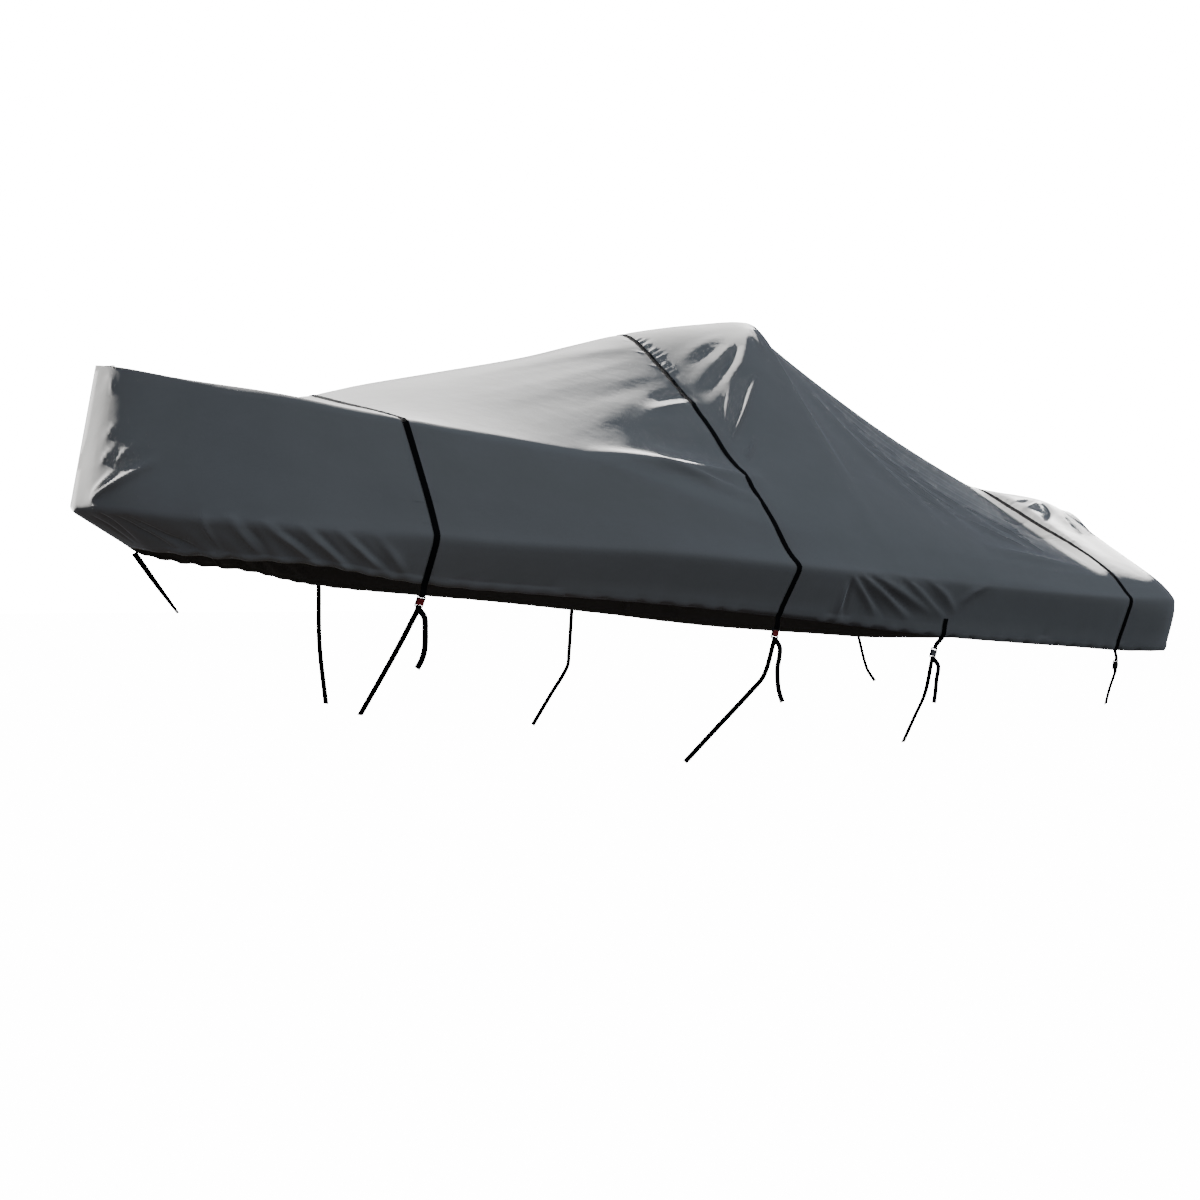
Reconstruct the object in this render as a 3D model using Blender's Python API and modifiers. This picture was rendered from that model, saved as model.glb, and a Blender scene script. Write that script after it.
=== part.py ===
import bpy
import bmesh
import numpy as np
from mathutils import Matrix

# A fitted boat cover as it stretches over a boat of 5.4 m, which is left out: one hollow
# cloth shell with its hem, the webbing straps over and under it, and their buckles.
# Metres, +X aft, the port side towards -Y, +Z up. The origin lies just under the peak.
# The tables measure x aft of the bow, b out from the centreline and z above the ground.

collectionName = "boat_cover"
peakAft, peakHeight = 3.390, 2.837
clothThick = 0.003
webWide, webThick = 0.025, 0.0018
webGap = 0.0035

# one row for each section of the cover: its ridge, the edge of the rail under its top,
# the rub rail and the hem, how far the roof sags, and how broad the crown of the ridge is
sectionColumns = ("station", "ridgeX", "ridgeZ", "edgeX", "edgeB", "edgeZ",
                  "railX", "railB", "railZ", "hemX", "hemB", "hemZ", "upper", "lower", "crown")
sectionTable = np.array([
    (0.00, 0.096, 2.325, 0.096, 0.000, 2.325, -0.006, 0.000, 1.708, 0.233, 0.000, 1.553, 0.000, 0.000, 0.35),
    (0.12, 0.155, 2.318, 0.152, 0.120, 2.311, 0.068, 0.170, 1.698, 0.298, 0.200, 1.536, 0.000, 0.000, 0.35),
    (0.40, 0.390, 2.296, 0.425, 0.320, 2.242, 0.354, 0.450, 1.660, 0.530, 0.500, 1.500, -0.005, 0.000, 0.30),
    (0.80, 0.690, 2.268, 0.760, 0.560, 2.170, 0.800, 0.765, 1.613, 0.870, 0.745, 1.468, -0.014, 0.000, 0.25),
    (1.10, 0.880, 2.243, 1.020, 0.690, 2.108, 1.098, 0.882, 1.593, 1.080, 0.825, 1.424, -0.016, 0.000, 0.25),
    (1.29, 1.013, 2.268, 1.190, 0.757, 2.075, 1.287, 0.950, 1.583, 1.220, 0.862, 1.400, -0.018, 0.000, 0.28),
    (1.50, 1.240, 2.332, 1.410, 0.845, 2.030, 1.500, 1.003, 1.562, 1.440, 0.905, 1.376, -0.012, 0.000, 0.45),
    (1.75, 1.530, 2.402, 1.660, 0.915, 1.990, 1.750, 1.050, 1.548, 1.680, 0.950, 1.357, -0.008, -0.014, 0.70),
    (2.30, 2.060, 2.532, 2.220, 1.003, 1.896, 2.300, 1.122, 1.522, 2.240, 1.025, 1.313, -0.004, 0.000, 0.42),
    (2.60, 2.335, 2.618, 2.539, 1.022, 1.827, 2.603, 1.140, 1.499, 2.544, 1.053, 1.284, -0.012, 0.022, 0.26),
    (2.90, 2.640, 2.708, 2.850, 1.030, 1.768, 2.900, 1.150, 1.475, 2.847, 1.070, 1.252, -0.006, 0.022, 0.17),
    (3.20, 3.060, 2.795, 3.130, 1.010, 1.740, 3.180, 1.153, 1.455, 3.150, 1.075, 1.220, -0.008, 0.014, 0.28),
    (3.43, 3.368, 2.838, 3.400, 0.990, 1.730, 3.420, 1.155, 1.440, 3.400, 1.080, 1.190, -0.016, 0.010, 0.18),
    (3.52, 3.470, 2.772, 3.500, 0.995, 1.715, 3.510, 1.155, 1.432, 3.490, 1.080, 1.180, -0.043, 0.000, 0.10),
    (3.83, 3.900, 2.527, 3.850, 1.010, 1.660, 3.840, 1.155, 1.405, 3.830, 1.080, 1.145, -0.036, 0.012, 0.04),
    (4.30, 4.400, 2.276, 4.330, 1.010, 1.580, 4.310, 1.153, 1.370, 4.310, 1.075, 1.107, -0.044, 0.004, 0.02),
    (4.75, 4.850, 2.080, 4.780, 0.990, 1.525, 4.750, 1.145, 1.343, 4.760, 1.065, 1.075, -0.048, -0.026, 0.02),
    (4.90, 5.000, 2.021, 4.930, 0.983, 1.511, 4.903, 1.141, 1.335, 4.897, 1.061, 1.064, -0.044, -0.030, 0.04),
    (5.08, 5.180, 1.985, 5.110, 0.975, 1.495, 5.085, 1.135, 1.326, 5.060, 1.055, 1.052, -0.012, -0.024, 0.24),
    (5.30, 5.380, 1.970, 5.320, 0.965, 1.475, 5.350, 1.125, 1.320, 5.310, 1.052, 1.044, -0.012, -0.040, 0.22),
    (5.45, 5.520, 1.955, 5.465, 0.930, 1.468, 5.510, 1.070, 1.315, 5.470, 1.012, 1.042, -0.020, -0.045, 0.24),
    (5.60, 5.620, 1.936, 5.565, 0.780, 1.505, 5.610, 0.910, 1.310, 5.560, 0.860, 1.045, -0.030, -0.035, 0.30),
    (5.85, 5.760, 1.900, 5.695, 0.470, 1.635, 5.745, 0.570, 1.335, 5.680, 0.550, 1.065, -0.020, -0.020, 0.35),
    (6.05, 5.840, 1.880, 5.810, 0.190, 1.780, 5.880, 0.250, 1.375, 5.820, 0.250, 1.090, 0.000, 0.000, 0.40),
    (6.20, 5.880, 1.852, 5.880, 0.000, 1.852, 5.930, 0.000, 1.400, 5.880, 0.000, 1.100, 0.000, 0.000, 0.40),
])

# rings run up a section: 0 hem, 1 rub rail, 2 shoulder above it, 3 rail edge, 4 ridge
shoulderShare = 0.22
lastStation = sectionTable[-1, 0]

# the main folds, each along three (station, ring) points: height out of the cloth and width
foldColumns = ("s0", "r0", "s1", "r1", "s2", "r2", "height", "width")
foldTable = np.array([
    (3.36, 3.88, 3.16, 3.64, 2.93, 3.41, 0.028, 0.050),
    (3.33, 3.87, 3.20, 3.72, 3.03, 3.57, -0.016, 0.035),
    (3.29, 3.86, 3.10, 3.72, 2.94, 3.61, 0.022, 0.040),
    (3.22, 3.85, 3.08, 3.76, 2.93, 3.68, 0.014, 0.034),
    (3.28, 3.62, 3.05, 3.36, 2.93, 3.26, 0.012, 0.030),
    (1.80, 3.24, 2.36, 3.46, 2.78, 3.56, -0.014, 0.080),
    (1.94, 3.72, 2.42, 3.82, 2.81, 3.82, 0.010, 0.070),
    (2.60, 3.42, 2.72, 3.43, 2.85, 3.47, 0.016, 0.040),
    (2.62, 3.55, 2.72, 3.52, 2.83, 3.50, -0.010, 0.032),
    (2.08, 3.28, 2.42, 3.17, 2.78, 3.09, -0.034, 0.120),
    (2.04, 3.09, 2.40, 3.04, 2.66, 2.96, 0.012, 0.045),
    (2.44, 2.97, 2.58, 2.93, 2.76, 2.84, 0.014, 0.032),
    (3.60, 3.88, 3.70, 3.60, 3.90, 3.00, 0.014, 0.050),
    (3.78, 3.84, 3.90, 3.50, 4.12, 3.00, 0.014, 0.045),
    (4.02, 3.84, 4.20, 3.40, 4.45, 3.05, 0.014, 0.045),
    (4.20, 3.14, 4.40, 3.04, 4.68, 2.96, 0.016, 0.040),
    (4.15, 2.78, 4.45, 2.68, 4.74, 2.64, 0.022, 0.050),
    (5.30, 3.74, 5.15, 3.55, 4.95, 3.34, -0.022, 0.050),
    (5.42, 3.74, 5.30, 3.50, 5.16, 3.30, 0.016, 0.045),
    (5.02, 3.76, 4.92, 3.66, 4.80, 3.58, -0.012, 0.035),
    (4.62, 3.22, 4.78, 3.17, 4.92, 3.18, -0.012, 0.035),
    (0.40, 2.34, 0.24, 1.84, 0.14, 1.28, 0.014, 0.028),
    (0.34, 2.46, 0.22, 2.16, 0.15, 1.56, 0.008, 0.024),
    (0.12, 0.92, 0.30, 0.60, 0.48, 0.30, 0.010, 0.030),
    (0.56, 0.98, 0.58, 0.50, 0.62, 0.02, 0.012, 0.028),
    (0.68, 0.98, 0.71, 0.50, 0.76, 0.02, -0.010, 0.028),
    (0.80, 0.98, 0.84, 0.50, 0.90, 0.02, 0.012, 0.028),
    (0.96, 0.98, 1.00, 0.50, 1.06, 0.02, -0.009, 0.028),
    (3.24, 0.94, 3.33, 0.56, 3.43, 0.16, 0.012, 0.035),
    (3.30, 0.82, 3.44, 0.54, 3.62, 0.20, 0.012, 0.035),
    (3.60, 0.84, 3.70, 0.58, 3.80, 0.30, -0.012, 0.040),
])
otherSideShift, otherSideShare = 0.06, 0.8

# the straps over the top: the station that each crosses at the hem, rail, edge and ridge
strapColumns = ("hem", "rail", "edge", "ridge")
strapTable = {
    "front": (1.33, 1.29, 1.31, 1.29),
    "middle": (2.90, 2.91, 2.85, 2.87),
    "stern": (5.05, 5.07, 5.05, 4.90),
}
strapBite, strapBiteWidth = 0.004, 0.030
strapLeanReach = 0.25

# below the hem: each buckle's centre, then the points of the webbing under it and of its tail
buckleAt = {
    "front": (1.240, -0.868, 1.326),
    "middle": (2.828, -1.072, 1.181),
    "quarter": (3.741, -1.085, 1.072),
    "stern": (5.030, -1.058, 0.978),
}
lowerRoute = {
    "front": [(1.205, -0.640, 1.105), (1.153, -0.300, 0.821)],
    "middle": [(2.804, -1.020, 0.990), (2.768, -0.970, 0.916), (2.630, -0.910, 0.757), (2.492, -0.850, 0.597)],
    "quarter": [(3.730, -1.040, 0.875), (3.745, -0.945, 0.745), (3.759, -0.850, 0.615)],
    "stern": [(5.056, -1.000, 0.845), (5.085, -0.950, 0.757)],
}
tailRoute = {
    "front": [(1.250, -0.892, 1.262), (1.252, -0.896, 1.215), (1.250, -0.895, 1.135), (1.236, -0.897, 1.090),
              (1.216, -0.900, 1.058)],
    "middle": [(2.836, -1.096, 1.118), (2.830, -1.100, 1.070), (2.822, -1.098, 1.026), (2.824, -1.100, 0.946),
               (2.834, -1.101, 0.905), (2.846, -1.102, 0.873)],
    "quarter": [(3.752, -1.107, 1.010), (3.738, -1.110, 0.943), (3.734, -1.108, 0.890), (3.722, -1.110, 0.833)],
}
quarterSewn = (3.80, 0.34)
bowRoute = [(0.240, 0.0, 1.546), (0.330, 0.0, 1.413), (0.429, 0.0, 1.272)]

# a buckle: a moulded frame with a slot at each end and a raised lever between them
buckleWide, buckleLong, buckleThick = 0.038, 0.052, 0.013
barThick, barLong, slotLong, slotWide = 0.005, 0.005, 0.005, 0.029

clothGrey = (0.245, 0.243, 0.240)
webBlack = (0.010, 0.010, 0.012)
plasticBlack = (0.014, 0.014, 0.015)


def ownCollection(name):
    for thing in list(bpy.data.objects):
        bpy.data.objects.remove(thing, do_unlink=True)
    made = bpy.data.collections.new(name)
    bpy.context.scene.collection.children.link(made)
    return made


def plainMaterial(name, colour, roughness):
    material = bpy.data.materials.new(name)
    material.use_nodes = True
    shader = material.node_tree.nodes["Principled BSDF"]
    shader.inputs["Base Color"].default_value = (*colour, 1.0)
    shader.inputs["Roughness"].default_value = roughness
    shader.inputs["Metallic"].default_value = 0.0
    return material


def placed(points):
    """From the tables' measures to the cover's own frame."""
    return np.asarray(points, float) - (peakAft, 0.0, peakHeight)


def smoothStep(start, end, x):
    t = np.clip((x - start) / (end - start), 0.0, 1.0)
    return t * t * (3.0 - 2.0 * t)


def monotoneCurve(knots, values, x):
    """A cubic through the knots that never overshoots them."""
    step = np.diff(knots)
    slope = np.diff(values) / step
    tangent = np.zeros_like(values)
    weightA, weightB = 2 * step[1:] + step[:-1], step[1:] + 2 * step[:-1]
    with np.errstate(divide="ignore", invalid="ignore"):
        mean = (weightA + weightB) / (weightA / slope[:-1] + weightB / slope[1:])
    tangent[1:-1] = np.where(slope[:-1] * slope[1:] > 0, mean, 0.0)
    tangent[0], tangent[-1] = slope[0], slope[-1]
    i = np.clip(np.searchsorted(knots, x, side="right") - 1, 0, len(knots) - 2)
    t, h = (x - knots[i]) / step[i], step[i]
    return ((1 + 2 * t) * (1 - t) ** 2 * values[i] + t * (1 - t) ** 2 * h * tangent[i]
            + t * t * (3 - 2 * t) * values[i + 1] + t * t * (t - 1) * h * tangent[i + 1])


def strapStation(name, ring):
    return np.interp(ring, (0, 1, 3, 4), strapTable[name])


def tautCloth(station, ring):
    """The port half of the cloth as it is pulled over the boat, before its folds."""
    at = {name: monotoneCurve(sectionTable[:, 0], sectionTable[:, k], station)
          for k, name in enumerate(sectionColumns) if k}
    middle = np.zeros_like(station)
    ridge = np.stack([at["ridgeX"], middle, at["ridgeZ"]], -1)
    edge = np.stack([at["edgeX"], -at["edgeB"], at["edgeZ"]], -1)
    rail = np.stack([at["railX"], -at["railB"], at["railZ"]], -1)
    hem = np.stack([at["hemX"], -at["hemB"], at["hemZ"]], -1)
    shoulder = rail + shoulderShare * (edge - rail)

    def creased(ring):
        up = np.clip(ring, 0, 4)[..., None]
        side = hem + (rail - hem) * np.clip(up, 0, 1)
        side = side + (shoulder - rail) * np.clip(up - 1, 0, 1) + (edge - shoulder) * np.clip(up - 2, 0, 1)
        out = np.clip(4 - ring, 0, 1)
        crown = at["crown"]
        rise = 1 - (np.sqrt(out ** 2 + crown ** 2) - crown) / (np.sqrt(1 + crown ** 2) - crown)
        roof = edge + (ridge - edge) * rise[..., None]
        roof[..., 1] = edge[..., 1] * out
        roof[..., 2] += 6.75 * out * (1 - out) * (at["upper"] * (1 - out) + at["lower"] * out)
        return np.where(up > 3, roof, side)

    # the cloth turns each corner on a curve, wide where the rail edge fades out aft
    point = creased(ring)
    aft = smoothStep(1.9, 3.0, station)
    for corner, knot, below, above in ((1, rail, 0.12, 0.16), (2, shoulder, 0.35, 0.15),
                                       (3, edge, 0.07 + 0.5 * aft, 0.035 + 0.4 * aft)):
        t = (ring - corner + below) / (below + above)
        inside = ((t > 0) & (t < 1))[..., None]
        t = np.clip(t, 0, 1)[..., None]
        start, end = creased(corner - below + 0 * ring), creased(corner + above + 0 * ring)
        point = np.where(inside, (1 - t) ** 2 * start + 2 * t * (1 - t) * knot + t * t * end, point)
    return point


def clothNormal(station, ring):
    step = 0.004
    along = tautCloth(np.minimum(station + step, lastStation), ring) - tautCloth(np.maximum(station - step, 0), ring)
    up = tautCloth(station, np.minimum(ring + step, 4)) - tautCloth(station, np.maximum(ring - step, 0))
    normal = np.cross(along, up)
    normal[..., 1] *= smoothStep(0, 0.1, 4 - ring)
    return normal / np.maximum(np.linalg.norm(normal, axis=-1, keepdims=True), 1e-9)


def foldHeight(point, shift, share):
    """Each fold is a swell along a bent line, which thins out at both of its ends."""
    height = np.zeros(point.shape[:-1])
    for row in foldTable:
        fold = dict(zip(foldColumns, row))
        knots = tautCloth(np.array([fold["s0"], fold["s1"], fold["s2"]]) + shift,
                          np.array([fold["r0"], fold["r1"], fold["r2"]]))
        nearest, along = np.full(height.shape, np.inf), np.zeros(height.shape)
        for part in (0, 1):
            start, run = knots[part], knots[part + 1] - knots[part]
            t = np.clip((point - start) @ run / (run @ run), 0, 1)
            away = np.linalg.norm(point - start - t[..., None] * run, axis=-1)
            along = np.where(away < nearest, (part + t) / 2, along)
            nearest = np.minimum(nearest, away)
        taper = 0.25 + 0.75 * np.sin(np.pi * along)
        height += share * fold["height"] * taper * np.exp(-(nearest / fold["width"]) ** 2)
    return height


def cloth(station, ring, side):
    """The folded cloth: side is -1 to port and 1 to starboard."""
    station, ring = np.broadcast_arrays(np.asarray(station, float), np.asarray(ring, float))
    point = tautCloth(station, ring)
    shift, share = (0.0, 1.0) if side < 0 else (otherSideShift, otherSideShare)
    height = foldHeight(point, shift, share)
    height += 0.004 * np.sin(2.3 * station + 1.7 * side) * np.sin(2.9 * ring + 0.9 * station + side)
    height *= smoothStep(0, 0.10, 4 - ring) * smoothStep(0, 0.12, station) * smoothStep(0, 0.12, lastStation - station)
    for name in strapTable:
        height = height - strapBite * np.exp(-((station - strapStation(name, ring)) / strapBiteWidth) ** 2)
    point = point + clothNormal(station, ring) * height[..., None]
    point[..., 1] *= -side
    return placed(point)


def stationList():
    """Columns of the cloth, close together where the folds are and beside the straps."""
    spans = ((0, 0.16, 3), (0.16, 0.56, 5), (0.56, 1.10, 7), (1.10, 2.30, 8), (2.30, 3.52, 16),
             (3.52, 4.70, 9), (4.70, 5.60, 8), (5.60, lastStation, 5))
    columns = np.concatenate([np.linspace(a, b, n, endpoint=False) for a, b, n in spans] + [[lastStation]])
    for name in strapTable:
        here = strapStation(name, 2.0)
        columns = columns[np.abs(columns - here) > 0.045]
        columns = np.append(columns, [here - 0.03, here, here + 0.03])
    return np.sort(columns)


ringList = np.array([0, 0.45, 0.86, 1.0, 1.18, 1.7, 2.1, 2.55, 2.94, 2.985, 3.03, 3.16, 3.30, 3.44, 3.58, 3.72, 3.86, 4.0])


def gridFaces(rows, columns, flip):
    for i in range(rows - 1):
        for j in range(columns - 1):
            a = i * columns + j
            face = (a, a + 1, a + columns + 1, a + columns)
            yield face[::-1] if flip else face


def addSheet(home, name, sheets, thick, offset, material):
    """One cloth or webbing body: open grids of points joined where they meet, then thickened."""
    shape = bmesh.new()
    for grid, flip in sheets:
        verts = [shape.verts.new(point) for point in grid.reshape(-1, 3)]
        for face in gridFaces(grid.shape[0], grid.shape[1], flip):
            shape.faces.new([verts[k] for k in face])
    bmesh.ops.remove_doubles(shape, verts=shape.verts, dist=1e-5)
    mesh = bpy.data.meshes.new(name)
    shape.to_mesh(mesh)
    shape.free()
    mesh.materials.append(material)
    thing = bpy.data.objects.new(name, mesh)
    home.objects.link(thing)
    wall = thing.modifiers.new("thickness", "SOLIDIFY")
    wall.thickness, wall.offset, wall.use_even_offset = thick, offset, True
    return thing


def addCover(home, material):
    columns = stationList()
    station, ring = np.meshgrid(columns, ringList, indexing="ij")
    # the columns beside a strap lean with it, so the strap lies along one of them
    for name in strapTable:
        middle = strapStation(name, 2.0)
        beside = np.exp(-((columns - middle) / strapLeanReach) ** 2)
        station = station + (strapStation(name, ring) - middle) * beside[:, None]
    sheets = [(cloth(station, ring, side), side < 0) for side in (-1, 1)]
    return addSheet(home, "cover_shell", sheets, clothThick, -1.0, material)


def unit(vector):
    vector = np.asarray(vector, float)
    return vector / np.linalg.norm(vector, axis=-1, keepdims=True)


def addWebbing(home, name, centres, facings, material):
    """A flat strip of webbing along its centres, turned to face the way that it is told to."""
    centres = np.asarray(centres, float)
    forward = unit(np.gradient(centres, axis=0))
    across = unit(np.cross(forward, np.broadcast_to(facings, centres.shape)))
    strip = np.stack([centres - across * webWide / 2, centres + across * webWide / 2], 1)
    return addSheet(home, name, [(strip, False)], webThick, 0.0, material)


def buckleFrame(name):
    """A buckle's centre and its three directions: down the strap, across it and outwards."""
    centre = placed(buckleAt[name])
    down = unit(placed(lowerRoute[name][0]) - centre)
    if name in strapTable:
        above = cloth(strapTable[name][0], 0.0, -1)
    else:
        above = cloth(quarterSewn[0] - 0.02, 0.0, -1)
    down = unit(down + unit(centre - above))
    across = unit(np.cross(down, (0.0, -1.0, 0.0)))
    return centre, down, across, unit(np.cross(across, down))


def fromBuckle(name, points):
    """Points given down a buckle and out from it, in the cover's frame."""
    centre, down, across, out = buckleFrame(name)
    return [centre + down * along + out * off for along, off in points]


def addBlock(home, name, frame, size, away, top=1.0):
    """A block in a buckle's own directions, size and away being down, out and across."""
    centre, down, across, out = frame
    bpy.ops.mesh.primitive_cube_add(size=1.0)
    block = bpy.context.object
    block.name = name
    for old in list(block.users_collection):
        old.objects.unlink(block)
    home.objects.link(block)
    for vertex in block.data.vertices:
        narrow = top if vertex.co.y > 0 else 1.0
        vertex.co = [(vertex.co[k] * (narrow if k == 0 else 1.0)) * size[k] + away[k] for k in range(3)]
    turn = np.eye(4)
    turn[:3, 0], turn[:3, 1], turn[:3, 2], turn[:3, 3] = down, out, np.cross(down, out), centre
    block.matrix_world = Matrix(turn.tolist())
    return block


def addBuckle(home, name, material):
    frame = buckleFrame(name)
    plate = addBlock(home, "buckle_" + name, frame, (buckleLong, barThick, buckleWide), (0, 0, 0))
    plate.data.materials.append(material)
    lever = buckleLong - 2 * (barLong + slotLong)
    slot = buckleLong / 2 - barLong - slotLong / 2
    raised = buckleThick - barThick / 2
    cutters = [("UNION", "lever", (lever, raised, buckleWide - 0.004), (0, raised / 2, 0), 0.72),
               ("DIFFERENCE", "slot_top", (slotLong, 0.03, slotWide), (-slot, 0, 0), 1.0),
               ("DIFFERENCE", "slot_foot", (slotLong, 0.03, slotWide), (slot, 0, 0), 1.0)]
    for operation, part, size, away, top in cutters:
        block = addBlock(home, "{}_{}".format(part, name), frame, size, away, top)
        block.hide_render = True
        block.display_type = "WIRE"
        cut = plate.modifiers.new(part, "BOOLEAN")
        cut.operation, cut.solver, cut.object = operation, "EXACT", block
    soft = plate.modifiers.new("moulded_edges", "BEVEL")
    soft.width, soft.segments, soft.limit_method = 0.0010, 1, "ANGLE"
    return plate


def throughSlot(end):
    """How webbing turns over a buckle's end bar into its slot: down the buckle, and out."""
    slot = buckleLong / 2 - barLong - slotLong / 2
    over = barThick / 2 + webThick / 2 + 0.0006
    return [(end * (slot + along), off) for along, off in
            ((0.022, over), (0.012, over), (0.0040, over), (0.0016, over - 0.0006), (0.0003, over - 0.0020),
             (0.0, -0.0020))]


def overTheTop(name):
    """Centres and facings of a strap, from the hem up over the ridge and down to the other hem."""
    path = [(ring, -1) for ring in ringList] + [(ring, 1) for ring in ringList[-2::-1]]
    under, normals, lifts = [], [], []
    for ring, side in path:
        here = strapStation(name, ring)
        normal = clothNormal(np.array(here), np.array(ring)) * (1, -side, 1)
        near = cloth(here + np.array([-0.5, 0.0, 0.5]) * webWide, np.full(3, ring), side)
        under.append(near[1])
        normals.append(normal)
        lifts.append(np.max((near - near[1]) @ normal) + webGap + webThick / 2)
    # each stretch is moved straight out, and meets the next one at a mitre
    under, normals, lifts = np.array(under), np.array(normals), np.array(lifts)
    run = unit(np.diff(under, axis=0))
    out = normals[:-1] + normals[1:]
    out = unit(out - np.sum(out * run, axis=1, keepdims=True) * run)
    before, after = np.vstack([out[:1], out]), np.vstack([out, out[-1:]])
    mitre = (before + after) / (1 + np.sum(before * after, axis=1, keepdims=True))
    return list(under + mitre * lifts[:, None]), list(unit(mitre))


def addStraps(home, webbing, plastic):
    outward = np.array((0.0, -1.0, 0.0))
    for name in strapTable:
        centres, facings = overTheTop(name)
        buckle = fromBuckle(name, throughSlot(-1))
        facing = buckleFrame(name)[3]
        mirrored = placed(lowerRoute[name]) * (1, -1, 1)
        route = buckle[::-1] + centres + list(mirrored)
        turned = [facing] * len(buckle) + facings + [-outward] * len(mirrored)
        addWebbing(home, "strap_" + name, route, turned, webbing)
    sewn = []
    for ring in (quarterSewn[1], 0.2, 0.08, 0.0):
        point = cloth(quarterSewn[0], ring, -1)
        sewn.append(point + clothNormal(np.array(quarterSewn[0]), np.array(ring)) * (webGap + webThick / 2 + 0.001))
    route = sewn + fromBuckle("quarter", throughSlot(-1))
    addWebbing(home, "strap_quarter", route, outward, webbing)
    for name in buckleAt:
        addBuckle(home, name, plastic)
        route = fromBuckle(name, throughSlot(1))[::-1] + list(placed(lowerRoute[name]))
        addWebbing(home, "strap_{}_foot".format(name), route, outward, webbing)
    for name, points in tailRoute.items():
        start = fromBuckle(name, [(0.017, buckleThick - barThick / 2 + 0.002), (0.026, buckleThick - barThick / 2 + 0.001)])
        addWebbing(home, "tail_" + name, start + list(placed(points)), outward, webbing)
    addWebbing(home, "strap_bow", placed(bowRoute), (-0.8, 0.0, -0.6), webbing)


def main():
    home = ownCollection(collectionName)
    addCover(home, plainMaterial("woven_polyester", clothGrey, 0.85))
    addStraps(home, plainMaterial("polypropylene_webbing", webBlack, 0.6),
              plainMaterial("moulded_acetal", plasticBlack, 0.4))


main()
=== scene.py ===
import bpy
import bmesh
import numpy as np
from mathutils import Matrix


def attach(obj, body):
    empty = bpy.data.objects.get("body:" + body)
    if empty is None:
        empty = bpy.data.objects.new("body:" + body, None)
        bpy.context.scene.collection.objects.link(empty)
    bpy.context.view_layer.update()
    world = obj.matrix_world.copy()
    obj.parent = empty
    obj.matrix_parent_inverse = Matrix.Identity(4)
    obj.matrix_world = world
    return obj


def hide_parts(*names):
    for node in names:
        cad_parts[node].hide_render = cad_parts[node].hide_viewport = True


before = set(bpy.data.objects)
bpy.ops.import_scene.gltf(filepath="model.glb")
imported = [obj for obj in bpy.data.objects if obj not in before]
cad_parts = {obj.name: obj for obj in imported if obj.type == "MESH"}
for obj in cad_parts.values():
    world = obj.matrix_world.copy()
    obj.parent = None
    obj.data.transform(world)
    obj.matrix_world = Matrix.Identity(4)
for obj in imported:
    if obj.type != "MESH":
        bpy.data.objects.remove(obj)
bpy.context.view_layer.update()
print("frame loaded")

# The tables measure x aft of the bow, b out from the centreline and z above the ground, in metres.
peakAft, peakHeight = 3.390, 2.837


def placed(points):
    # from the tables' measures to the frame: the origin is just under the peak
    return np.asarray(points, float) - (peakAft, 0.0, peakHeight)


def linearColour(hexCode):
    # sRGB to linear, channel by channel
    channel = np.array([int(hexCode[k:k + 2], 16) / 255 for k in (1, 3, 5)])
    linear = np.where(channel <= 0.04045, channel / 12.92, ((channel + 0.055) / 1.055) ** 2.4)
    return (*linear.tolist(), 1.0)


def addNode(tree, kind, settings=None, links=None):
    # adds one node, sets its values and links its inputs from (node, output) pairs
    node = tree.nodes.new(kind)
    for name, value in (settings or {}).items():
        if isinstance(name, str) and hasattr(node, name):
            setattr(node, name, value)
        else:
            node.inputs[name].default_value = value
    for name, (source, output) in (links or {}).items():
        tree.links.new(source.outputs[output], node.inputs[name])
    return node


def newObject(name, data):
    added = bpy.data.objects.new(name, data)
    bpy.context.scene.collection.objects.link(added)
    return added


def newMaterial(name):
    material = bpy.data.materials.new(name)
    material.use_nodes = True
    tree = material.node_tree
    return material, tree, tree.nodes["Principled BSDF"]


def unit(vector):
    vector = np.asarray(vector, float)
    return vector / np.maximum(np.linalg.norm(vector, axis=-1, keepdims=True), 1e-12)


def runLength(points, axis=0):
    # distance along one direction of a grid of points, from its first line
    step = np.linalg.norm(np.diff(points, axis=axis), axis=-1)
    first = np.zeros_like(np.take(step, [0], axis=axis))
    return np.concatenate([first, np.cumsum(step, axis=axis)], axis=axis)


def smoothStep(start, end, x):
    # 0 up to start, 1 from end on, and 3t^2 - 2t^3 between them
    t = np.clip((x - start) / (end - start), 0.0, 1.0)
    return t * t * (3.0 - 2.0 * t)


def cubicThrough(knots, values, tangent, x):
    # the cubic between each pair of knots that has their values and slopes
    i = np.clip(np.searchsorted(knots, x, side="right") - 1, 0, len(knots) - 2)
    h = knots[i + 1] - knots[i]
    t = (x - knots[i]) / h
    if values.ndim > 1:
        h, t = h[:, None], t[:, None]
    return ((1 + 2 * t) * (1 - t) ** 2 * values[i] + t * (1 - t) ** 2 * h * tangent[i]
            + t * t * (3 - 2 * t) * values[i + 1] + t * t * (t - 1) * h * tangent[i + 1])


# camera, floor and light
view = {
    "cameraAt": (-0.3075, -5.5, 1.364),
    "turnDegrees": 27.0,
    "lensMillimetres": 36.0,
    "horizonShift": -8.0 / 1200.0,
    "key": {"towards": (-0.50, 0.64, 0.585), "strength": 22.0, "degrees": 1.2, "colour": (1.0, 0.985, 0.965)},
    "fill": {"towards": (0.30, -0.62, 0.72), "strength": 0.66, "degrees": 50.0, "colour": (0.76, 0.88, 1.0)},
    "skyColour": (0.190, 0.220, 0.276),
    "backdrop": 18.0,
    "floorHalf": 80.0,
    "floorBounce": "#272523",
    "floorGlow": 18.0,
    "floorGlowShare": 0.85,
}


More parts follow.
